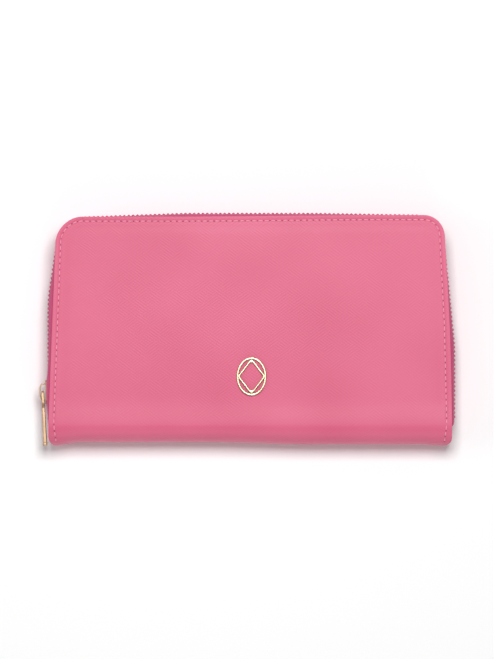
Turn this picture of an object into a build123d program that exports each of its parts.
from build123d import *
import os

os.makedirs("parts", exist_ok=True)

# Zip-around wallet, lying on its back panel. Millimetres.
# +X runs along the spine, +Y from the spine to the top zip, +Z out of the front panel.

# ---- overall size ----
spine_width = 189.0          # width of the panels where they meet the spine
side_taper = 3.75            # each side leans in by this much from the spine to the top edge
wallet_height = 108.0        # from the spine's outer line to the top of the zip
thickness = 24.0             # back panel's outer face to front panel's outer face
corner_radius = 10.5         # top corners of the panels
spine_depth = 9.5            # how far the rolled spine stands out from the flat panels
spine_corner_radius = 6.0    # lower corners, seen from the front

# ---- sheet thicknesses ----
leather = 1.2
board = 0.9
lining = 0.5
leaf = 0.5
gusset_sheet = 0.5
pocket_sheet = 0.6

# ---- margins of the layers from the panel's edge ----
lining_margin = 1.5
board_margin = 5.5
tape_seam = 4.5
fit_gap = 0.2                # between a layer and the tape that rises past it

# ---- card leaves ----
leaf_count = 3
leaf_top_drop = 18.0         # first leaf's top below the panel's top
leaf_step = 11.0
leaf_foot = 2.5              # the leaves' lower edge above the fold

# ---- main zip ----
side_bulge = 0.5             # chain beyond the panel's widest line
top_bulge = 1.8              # chain beyond the panel's top edge
corner_tuck = 1.5            # chain's corner point inside the panel's corner point
coil_thickness = 2.0
coil_width = 2.75            # one half of the chain, across the zip
coil_gap = 0.15              # each half from the middle plane
tape_thickness = 0.6
tape_rest = 0.7              # tape's outer face below the coil's outer face
lean_radius = 80.0
left_lean_drop = 38.15       # where the left run starts to lean in, below the panel's top
zip_corner_radius = 14.0
right_lean_drop = 60.2       # the same on the right
tape_end = 10.5              # tape's lower end above the spine's outer line
stop_length = 2.0
stop_thickness = 1.6

# ---- main slider and pull ----
slider_height = 24.55        # slider's middle above the spine's outer line, zip closed
slider_length = 11.0
slider_plate = 0.9
slider_clear = 0.3           # slider to coil, each side
lip_clear = 0.4              # slider's lip to the coil's edge
tape_clear = 0.15            # slider's slot to tape, each side
flange = 1.0
post_length = 3.4
post_width = 2.4
crown_length = 8.1
crown_rise = 2.8
crown_width = 2.2
crown_strap = 0.7
crown_eye_clear = 0.4
spring_sheet = 0.3
pull_length = 25.4
pull_width = 5.6
pull_thickness = 1.0
pull_bar = 0.9
pull_axis_rise = 1.3         # pull's turning axis above the slider's outer plate
pull_lean = 3.8              # degrees, inwards from hanging straight
tail_length = 3.2
tail_width = 6.8
tail_thickness = 1.8

# ---- coin pocket ----
pocket_thickness = 6.8
pocket_foot = 6.0            # pocket's lower edge above the spine's outer line
pocket_drop = 25.1           # pocket's top below the panel's top
gusset_fold_depth = 19.0     # fold depth at the mouth
gusset_fold_foot = 4.0       # fold depth at the spine end
gusset_seam_inset = 6.2      # gusset's plane inside the panel's widest line
gusset_foot = 8.0
coin_coil_width = 1.6
coin_coil_thickness = 1.6
coin_coil_gap = 0.1
coin_zip_margin = 10.0       # coin chain's ends from the pocket's sides
coin_slider_length = 8.0
coin_slider_plate = 0.7
coin_slider_clear = 0.2
coin_lip_clear = 0.2
coin_flange = 0.5
coin_post_length = 2.4
coin_post_width = 1.4
coin_crown_length = 5.6
coin_crown_rise = 2.2
coin_crown_width = 1.6
coin_crown_strap = 0.5
coin_pull_length = 16.0
coin_pull_width = 4.2
coin_pull_thickness = 0.8
coin_pull_bar = 0.7
coin_pull_axis_rise = 1.05
coin_tail_length = 2.2
coin_tail_width = 4.8
coin_tail_thickness = 1.2

# ---- ornament ----
ornament_x = 0.6
ornament_height = 31.8       # ornament's middle above the spine's outer line
ornament_width = 14.0
ornament_tall = 18.0
ornament_bar = 1.0
ornament_relief = 1.0
rivet_diameter = 0.9
rivet_clear = 0.1
washer_diameter = 3.6
washer_sheet = 0.5
washer_room = 0.6

# ---- values that follow ----
mid_z = thickness / 2
mid_plane = Plane.XY.offset(mid_z)
spine_y = -wallet_height / 2
fold_y = spine_y + spine_depth
panel_top_y = wallet_height / 2 - top_bulge
half_spine = spine_width / 2
half_top = half_spine - side_taper
board_z = leather
lining_z = leather + board
leaf_z = lining_z + lining
leaf_stack_z = leaf_z + leaf_count * leaf
gusset_x = half_spine - gusset_seam_inset
leaf_half_width = gusset_x - gusset_sheet / 2 - fit_gap * 2
pocket_half_width = gusset_x - gusset_sheet / 2
pocket_z = mid_z - pocket_thickness / 2
pocket_bottom_y = spine_y + pocket_foot
pocket_top_y = panel_top_y - pocket_drop
zip_side_x = half_spine + side_bulge
coil_edge_z = mid_z - coil_gap - coil_width
tape_end_y = spine_y + tape_end
slider_y = spine_y + slider_height
far = 2 * (spine_width + wallet_height)


def upper_half(bottom_y):
    """A large rectangle above a line, to keep only what is above it."""
    with BuildSketch() as keep:
        with Locations((0, bottom_y + far / 2)):
            Rectangle(far, far)
    return keep.sketch


def panel_outline(inset=0.0):
    """Outline of the closed wallet from the front, less an even margin."""
    with BuildSketch() as outline:
        with BuildLine():
            Polyline(
                (-half_spine, spine_y),
                (half_spine, spine_y),
                (half_spine, fold_y),
                (half_top, panel_top_y),
                (-half_top, panel_top_y),
                (-half_spine, fold_y),
                close=True,
            )
        make_face()
        fillet(outline.vertices().group_by(Axis.Y)[-1], radius=corner_radius)
        fillet(outline.vertices().group_by(Axis.Y)[0], radius=spine_corner_radius)
        if inset > 0:
            offset(amount=-inset)
    return outline.sketch


def zip_outline(inset=0.0):
    """Outer line of the chain, three sides of the wallet, closed far below the spine."""
    corner_x = half_top - corner_tuck
    crest_x = half_top / 3
    low_y = spine_y - spine_depth * 3
    with BuildSketch() as outline:
        with BuildLine() as line:
            run = FilletPolyline(
                (-zip_side_x, low_y),
                (-zip_side_x, panel_top_y - left_lean_drop),
                (-corner_x, panel_top_y),
                (-crest_x, panel_top_y + top_bulge),
                (crest_x, panel_top_y + top_bulge),
                (corner_x, panel_top_y),
                (zip_side_x, panel_top_y - right_lean_drop),
                (zip_side_x, low_y),
                radius=[lean_radius, zip_corner_radius, lean_radius] * 2,
            )
            Line(run @ 1, run @ 0)
        make_face()
        if inset > 0:
            offset(amount=-inset, kind=Kind.INTERSECTION)
    return outline.sketch


def zip_band(outer, inner, bottom_y):
    """Band that follows the chain, between two depths behind its outer line."""
    with BuildSketch() as band:
        add(zip_outline(outer))
        add(zip_outline(inner), mode=Mode.SUBTRACT)
        add(upper_half(bottom_y), mode=Mode.INTERSECT)
    return band.sketch


def slider_body(place, length, width, plate, channel, slot, lip, post, post_across):
    """Zip slider: two plates with lips along both sides, joined by a post at one end."""
    with BuildPart() as body:
        for side in (-1, 1):
            with BuildSketch(place.offset(side * (channel + plate) / 2)):
                RectangleRounded(length, width, min(1.2, width / 4))
            extrude(amount=plate / 2, both=True)
            with BuildSketch(place.offset(side * (channel + slot) / 4)):
                with GridLocations(0, width - lip, 1, 2):
                    Rectangle(length - 2.4, lip)
            extrude(amount=(channel - slot) / 4, both=True)
        with BuildSketch(place):
            with Locations((-length / 2 + post / 2, 0)):
                RectangleRounded(post, post_across, post_across / 2.5)
        extrude(amount=channel / 2, both=True)
    return body


def slider_crown(place, length, rise, width, strap):
    """Bridge over the slider's outer plate that holds the pull."""
    side = Plane(origin=place.origin, x_dir=place.x_dir, z_dir=-place.y_dir)
    with BuildPart() as crown:
        with BuildSketch(side):
            with Locations((0, rise / 2)):
                Rectangle(length, rise)
                with Locations((0, -strap / 2)):
                    Rectangle(length - 2 * strap, rise - strap, mode=Mode.SUBTRACT)
        extrude(amount=width / 2, both=True)
        across = crown.edges().filter_by(Axis(place.origin, place.y_dir))
        fillet(across.group_by(Axis(place.origin, place.z_dir))[-1], radius=strap * 1.8)
    return crown


def zip_puller(place, length, width, sheet, bar, eye_end, eye_width, tail, tail_across, tail_sheet):
    """Flat pull with an eye round the crown and a thicker tail; local X runs along it."""
    with BuildPart() as pull:
        with BuildSketch(place):
            with Locations(((length - bar / 2) / 2, 0)):
                Rectangle(length + bar / 2, width)
            with Locations(((bar / 2 + eye_end) / 2, 0)):
                Rectangle(eye_end - bar / 2, eye_width, mode=Mode.SUBTRACT)
        extrude(amount=sheet / 2, both=True)
        with BuildSketch(place):
            with Locations((length - tail / 2, 0)):
                RectangleRounded(tail, tail_across, tail / 4)
        extrude(amount=tail_sheet / 2, both=True)
    return pull


def layer(sketch, base_z, sheet):
    """A flat sheet with the given outline."""
    with BuildPart() as sheet_part:
        with BuildSketch(Plane.XY.offset(base_z)):
            add(sketch)
        extrude(amount=sheet)
    return sheet_part


def slab(x0, x1, y0, y1, z0, z1):
    """A plain block between two corners."""
    with BuildPart() as block:
        with BuildSketch(Plane.XY.offset(z0)):
            with Locations(((x0 + x1) / 2, (y0 + y1) / 2)):
                Rectangle(x1 - x0, y1 - y0)
        extrude(amount=z1 - z0)
    return block


# ---- back panel: leather, board and lining ----
with BuildPart() as back_cover:
    with BuildSketch():
        add(panel_outline())
        add(upper_half(fold_y), mode=Mode.INTERSECT)
    extrude(amount=leather)

with BuildPart() as back_board:
    with BuildSketch(Plane.XY.offset(board_z)):
        add(panel_outline(board_margin))
        add(zip_outline(tape_rest + tape_thickness + tape_seam + fit_gap), mode=Mode.INTERSECT)
        add(upper_half(fold_y + lining_margin), mode=Mode.INTERSECT)
    extrude(amount=board)

with BuildPart() as back_lining:
    with BuildSketch(Plane.XY.offset(lining_z)):
        add(panel_outline(lining_margin))
        add(zip_outline(tape_rest + tape_thickness + fit_gap), mode=Mode.INTERSECT)
        add(upper_half(fold_y), mode=Mode.INTERSECT)
    extrude(amount=lining)

leaf_bottom_y = fold_y + leaf_foot
back_leaves = []
for index in range(leaf_count):
    leaf_top_y = panel_top_y - leaf_top_drop - index * leaf_step
    leaf_piece = slab(
        -leaf_half_width, leaf_half_width, leaf_bottom_y, leaf_top_y,
        leaf_z + index * leaf, leaf_z + (index + 1) * leaf,
    )
    back_leaves.append(leaf_piece)

# ---- back half of the main zip ----
with BuildPart() as back_zip_tape:
    with BuildSketch(Plane.XY.offset(leather)):
        add(zip_band(tape_rest, tape_rest + tape_thickness + tape_seam, tape_end_y))
    extrude(amount=tape_thickness)
    with BuildSketch(Plane.XY.offset(leather)):
        add(zip_band(tape_rest, tape_rest + tape_thickness, tape_end_y))
    extrude(amount=coil_edge_z - leather)

coil_low_y = tape_end_y + stop_length + fit_gap
with BuildPart() as back_zip_coil:
    with BuildSketch(Plane.XY.offset(coil_edge_z)):
        add(zip_band(0, coil_thickness, coil_low_y))
        # the slider's post parts the halves, so the coil is interrupted there
        with Locations((-zip_side_x, slider_y - (slider_length - post_length) / 2 - fit_gap)):
            Rectangle(4 * coil_thickness, post_length + 4 * fit_gap, mode=Mode.SUBTRACT)
    extrude(amount=coil_width)

stop_x = zip_side_x - tape_rest - tape_thickness / 2
with BuildPart() as back_zip_stops:
    with BuildSketch(Plane.XY.offset(coil_edge_z - tape_thickness)):
        with Locations((0, tape_end_y + stop_length / 2)):
            with GridLocations(2 * stop_x, 0, 2, 1):
                Rectangle(stop_thickness, stop_length)
    extrude(amount=coil_width + tape_thickness)
    add(back_zip_tape.part, mode=Mode.SUBTRACT)

# ---- spine ----
spine_plan = panel_outline()


def spine_shell(outer_inset, sheet):
    """Half of an elliptical tube that joins the two panels."""
    with BuildPart() as shell:
        with BuildSketch(Plane.YZ):
            with Locations((fold_y, mid_z)):
                Ellipse(spine_depth - outer_inset, mid_z - outer_inset)
                Ellipse(spine_depth - outer_inset - sheet, mid_z - outer_inset - sheet, mode=Mode.SUBTRACT)
                with Locations((-spine_depth, 0)):
                    Rectangle(2 * spine_depth, thickness, mode=Mode.INTERSECT)
        extrude(amount=half_spine + spine_depth, both=True)
        with BuildSketch(Plane.XY.offset(-spine_depth)):
            add(spine_plan)
        extrude(amount=thickness + 2 * spine_depth, mode=Mode.INTERSECT)
    return shell


spine_cover = spine_shell(0, leather)
spine_lining = spine_shell(leather, lining)

# ---- side gussets, one fold each ----
gusset_low_y = spine_y + gusset_foot
gusset_walls = 0.8
with BuildPart() as rear_gusset_left:
    for station_y, depth in ((gusset_low_y, gusset_fold_foot), (pocket_top_y, gusset_fold_depth)):
        with BuildSketch(Plane.XZ.offset(-station_y)):
            with BuildLine():
                Polyline(
                    (-gusset_x, leaf_z),
                    (-gusset_x, leaf_stack_z + gusset_walls),
                    (-gusset_x + depth, (leaf_stack_z + pocket_z) / 2),
                    (-gusset_x, pocket_z - gusset_walls),
                    (-gusset_x, mid_z - coin_coil_gap),
                )
            trace(line_width=gusset_sheet)
    loft(ruled=True)

with BuildPart() as rear_gusset_right:
    mirror(rear_gusset_left.part, about=Plane.YZ)

with BuildPart() as front_gusset_left:
    mirror(rear_gusset_left.part, about=mid_plane)

with BuildPart() as front_gusset_right:
    mirror(rear_gusset_right.part, about=mid_plane)

# ---- coin pocket ----
coin_tape_y = pocket_top_y
coin_chain_y = coin_tape_y + tape_thickness / 2
coin_half_x = pocket_half_width - coin_zip_margin
coin_slider_x = -coin_half_x + coin_slider_length / 2
pocket_wall_z = pocket_z + pocket_sheet
coin_coil_edge_z = mid_z - coin_coil_gap - coin_coil_width

coin_pocket_rear_wall = slab(
    -pocket_half_width, pocket_half_width, pocket_bottom_y, pocket_top_y, pocket_z, pocket_wall_z
)
with BuildPart() as coin_pocket_front_wall:
    mirror(coin_pocket_rear_wall.part, about=mid_plane)

with BuildPart() as coin_pocket_edge:
    with BuildSketch(Plane.XY.offset(pocket_wall_z)):
        with Locations((0, (pocket_bottom_y + pocket_top_y) / 2)):
            Rectangle(2 * pocket_half_width, pocket_top_y - pocket_bottom_y)
        with Locations((0, (pocket_bottom_y + pocket_sheet + far) / 2)):
            Rectangle(
                2 * (pocket_half_width - pocket_sheet), far - pocket_bottom_y - pocket_sheet,
                mode=Mode.SUBTRACT,
            )
    extrude(amount=pocket_thickness - 2 * pocket_sheet)

coin_zip_rear_tape = slab(
    -pocket_half_width, pocket_half_width, coin_tape_y, coin_tape_y + tape_thickness,
    pocket_z, coin_coil_edge_z,
)
with BuildPart() as coin_zip_front_tape:
    mirror(coin_zip_rear_tape.part, about=mid_plane)

coin_coil_start = coin_slider_x - coin_slider_length / 2 + coin_post_length + fit_gap
coin_zip_rear_coil = slab(
    coin_coil_start, coin_half_x,
    coin_chain_y - coin_coil_thickness / 2, coin_chain_y + coin_coil_thickness / 2,
    coin_coil_edge_z, coin_coil_edge_z + coin_coil_width,
)
with BuildPart() as coin_zip_front_coil:
    mirror(coin_zip_rear_coil.part, about=mid_plane)

coin_stop_x = coin_half_x + fit_gap + stop_length / 2
with BuildPart() as coin_zip_stops:
    for x in (-coin_stop_x, coin_stop_x):
        with BuildSketch(Plane.XY.offset(coin_coil_edge_z - tape_thickness)):
            with Locations((x, coin_chain_y)):
                Rectangle(stop_length, coin_coil_thickness)
        extrude(amount=2 * (coin_coil_width + coin_coil_gap + tape_thickness))
    add(coin_zip_rear_tape.part, mode=Mode.SUBTRACT)
    add(coin_zip_front_tape.part, mode=Mode.SUBTRACT)

coin_slider_width = 2 * (coin_coil_gap + coin_coil_width + coin_lip_clear + coin_flange)
coin_channel = coin_coil_thickness + 2 * coin_slider_clear
coin_slot = tape_thickness + 2 * tape_clear
coin_place = Plane(origin=(coin_slider_x, coin_chain_y, mid_z), x_dir=(1, 0, 0), z_dir=(0, 1, 0))
coin_slider_body = slider_body(
    coin_place, coin_slider_length, coin_slider_width, coin_slider_plate,
    coin_channel, coin_slot, coin_flange, coin_post_length, coin_post_width,
)
coin_face = coin_channel / 2 + coin_slider_plate
coin_slider_crown = slider_crown(
    coin_place.offset(coin_face), coin_crown_length, coin_crown_rise, coin_crown_width, coin_crown_strap
)
coin_pivot_y = coin_chain_y + coin_face + coin_pull_axis_rise
coin_pull_place = Plane(origin=(coin_slider_x, coin_pivot_y, mid_z), x_dir=(1, 0, 0), z_dir=(0, 1, 0))
coin_pull = zip_puller(
    coin_pull_place, coin_pull_length, coin_pull_width, coin_pull_thickness, coin_pull_bar,
    coin_crown_length / 2 + crown_eye_clear, coin_crown_width + 2 * crown_eye_clear,
    coin_tail_length, coin_tail_width, coin_tail_thickness,
)

# ---- front half: the back half's layers, turned over the middle plane ----
ornament_place = Plane(origin=(ornament_x, spine_y + ornament_height, thickness))
rivet_pitch = ornament_tall - ornament_bar

with BuildPart() as front_cover:
    mirror(back_cover.part, about=mid_plane)
    with BuildSketch(ornament_place):
        with GridLocations(0, rivet_pitch, 1, 2):
            Circle(rivet_diameter / 2 + rivet_clear)
    extrude(amount=-leather, mode=Mode.SUBTRACT)

with BuildPart() as front_board:
    mirror(back_board.part, about=mid_plane)
    with BuildSketch(ornament_place.offset(-leather)):
        with GridLocations(0, rivet_pitch, 1, 2):
            Circle(washer_diameter / 2 + washer_room)
    extrude(amount=-board, mode=Mode.SUBTRACT)

with BuildPart() as front_lining:
    mirror(back_lining.part, about=mid_plane)

front_leaves = []
for back_leaf in back_leaves:
    with BuildPart() as front_leaf:
        mirror(back_leaf.part, about=mid_plane)
    front_leaves.append(front_leaf)

with BuildPart() as front_zip_tape:
    mirror(back_zip_tape.part, about=mid_plane)

# the front half leaves the slider when the cover opens, so its coil stops short of it
with BuildPart() as front_zip_coil:
    mirror(back_zip_coil.part, about=mid_plane)
    with BuildSketch(Plane.XY.offset(mid_z)):
        with Locations((-zip_side_x, slider_y)):
            Rectangle(4 * coil_thickness, slider_length + 8 * fit_gap)
    extrude(amount=mid_z, mode=Mode.SUBTRACT)

with BuildPart() as front_zip_stops:
    mirror(back_zip_stops.part, about=mid_plane)

# ---- ornament: an open oval ring with a lozenge inside, riveted through the leather ----
with BuildPart() as ornament:
    with BuildSketch(ornament_place):
        Ellipse(ornament_width / 2, ornament_tall / 2)
        Ellipse(ornament_width / 2 - ornament_bar, ornament_tall / 2 - ornament_bar, mode=Mode.SUBTRACT)
        with BuildLine():
            Polyline(
                ((ornament_width - ornament_bar) / 2, 0),
                (0, (ornament_tall - ornament_bar) / 2),
                (-(ornament_width - ornament_bar) / 2, 0),
                (0, -(ornament_tall - ornament_bar) / 2),
                close=True,
            )
        trace(line_width=ornament_bar)
        Ellipse(ornament_width / 2, ornament_tall / 2, mode=Mode.INTERSECT)
    extrude(amount=ornament_relief)
    with BuildSketch(ornament_place):
        with GridLocations(0, rivet_pitch, 1, 2):
            Circle(rivet_diameter / 2)
    extrude(amount=-leather - washer_sheet)

with BuildPart() as ornament_washers:
    with BuildSketch(ornament_place.offset(-leather)):
        with GridLocations(0, rivet_pitch, 1, 2):
            Circle(washer_diameter / 2)
            Circle(rivet_diameter / 2, mode=Mode.SUBTRACT)
    extrude(amount=-washer_sheet)

# ---- main slider, its crown, lock spring and pull ----
slider_width = 2 * (coil_gap + coil_width + lip_clear + flange)
channel = coil_thickness + 2 * slider_clear
slot = tape_thickness + 2 * tape_clear
chain_x = -zip_side_x + coil_thickness / 2
slider_place = Plane(origin=(chain_x, slider_y, mid_z), x_dir=(0, 1, 0), z_dir=(-1, 0, 0))
zip_slider_body = slider_body(
    slider_place, slider_length, slider_width, slider_plate, channel, slot, flange, post_length, post_width
)
slider_face = channel / 2 + slider_plate
zip_slider_crown = slider_crown(
    slider_place.offset(slider_face), crown_length, crown_rise, crown_width, crown_strap
)
with BuildPart() as zip_lock_spring:
    with BuildSketch(slider_place.offset(slider_face)):
        Rectangle(crown_length - 2 * crown_strap - 2 * fit_gap, crown_width - 2 * fit_gap)
    extrude(amount=spring_sheet)

pivot_x = chain_x - slider_face - pull_axis_rise
pull_along = Vector(0, -1, 0).rotate(Axis.Z, pull_lean)
pull_outward = Vector(-1, 0, 0).rotate(Axis.Z, pull_lean)
pull_place = Plane(origin=(pivot_x, slider_y, mid_z), x_dir=pull_along, z_dir=pull_outward)
zip_pull = zip_puller(
    pull_place, pull_length, pull_width, pull_thickness, pull_bar,
    crown_length / 2 + crown_eye_clear, crown_width + 2 * crown_eye_clear,
    tail_length, tail_width, tail_thickness,
)

# ---- one file for each piece ----
pieces = {
    "back_cover": back_cover,
    "back_board": back_board,
    "back_lining": back_lining,
    "back_zip_tape": back_zip_tape,
    "back_zip_coil": back_zip_coil,
    "back_zip_stops": back_zip_stops,
    "spine_cover": spine_cover,
    "spine_lining": spine_lining,
    "rear_gusset_left": rear_gusset_left,
    "rear_gusset_right": rear_gusset_right,
    "front_gusset_left": front_gusset_left,
    "front_gusset_right": front_gusset_right,
    "coin_pocket_rear_wall": coin_pocket_rear_wall,
    "coin_pocket_front_wall": coin_pocket_front_wall,
    "coin_pocket_edge": coin_pocket_edge,
    "coin_zip_rear_tape": coin_zip_rear_tape,
    "coin_zip_front_tape": coin_zip_front_tape,
    "coin_zip_rear_coil": coin_zip_rear_coil,
    "coin_zip_front_coil": coin_zip_front_coil,
    "coin_zip_stops": coin_zip_stops,
    "coin_slider_body": coin_slider_body,
    "coin_slider_crown": coin_slider_crown,
    "coin_pull": coin_pull,
    "front_cover": front_cover,
    "front_board": front_board,
    "front_lining": front_lining,
    "front_zip_tape": front_zip_tape,
    "front_zip_coil": front_zip_coil,
    "front_zip_stops": front_zip_stops,
    "ornament": ornament,
    "ornament_washers": ornament_washers,
    "zip_slider_body": zip_slider_body,
    "zip_slider_crown": zip_slider_crown,
    "zip_lock_spring": zip_lock_spring,
    "zip_pull": zip_pull,
}
for index in range(leaf_count):
    pieces[f"back_card_leaf_{index + 1}"] = back_leaves[index]
    pieces[f"front_card_leaf_{index + 1}"] = front_leaves[index]

for name, piece in pieces.items():
    piece.part.label = name
    export_step(piece.part, f"parts/{name}.step")
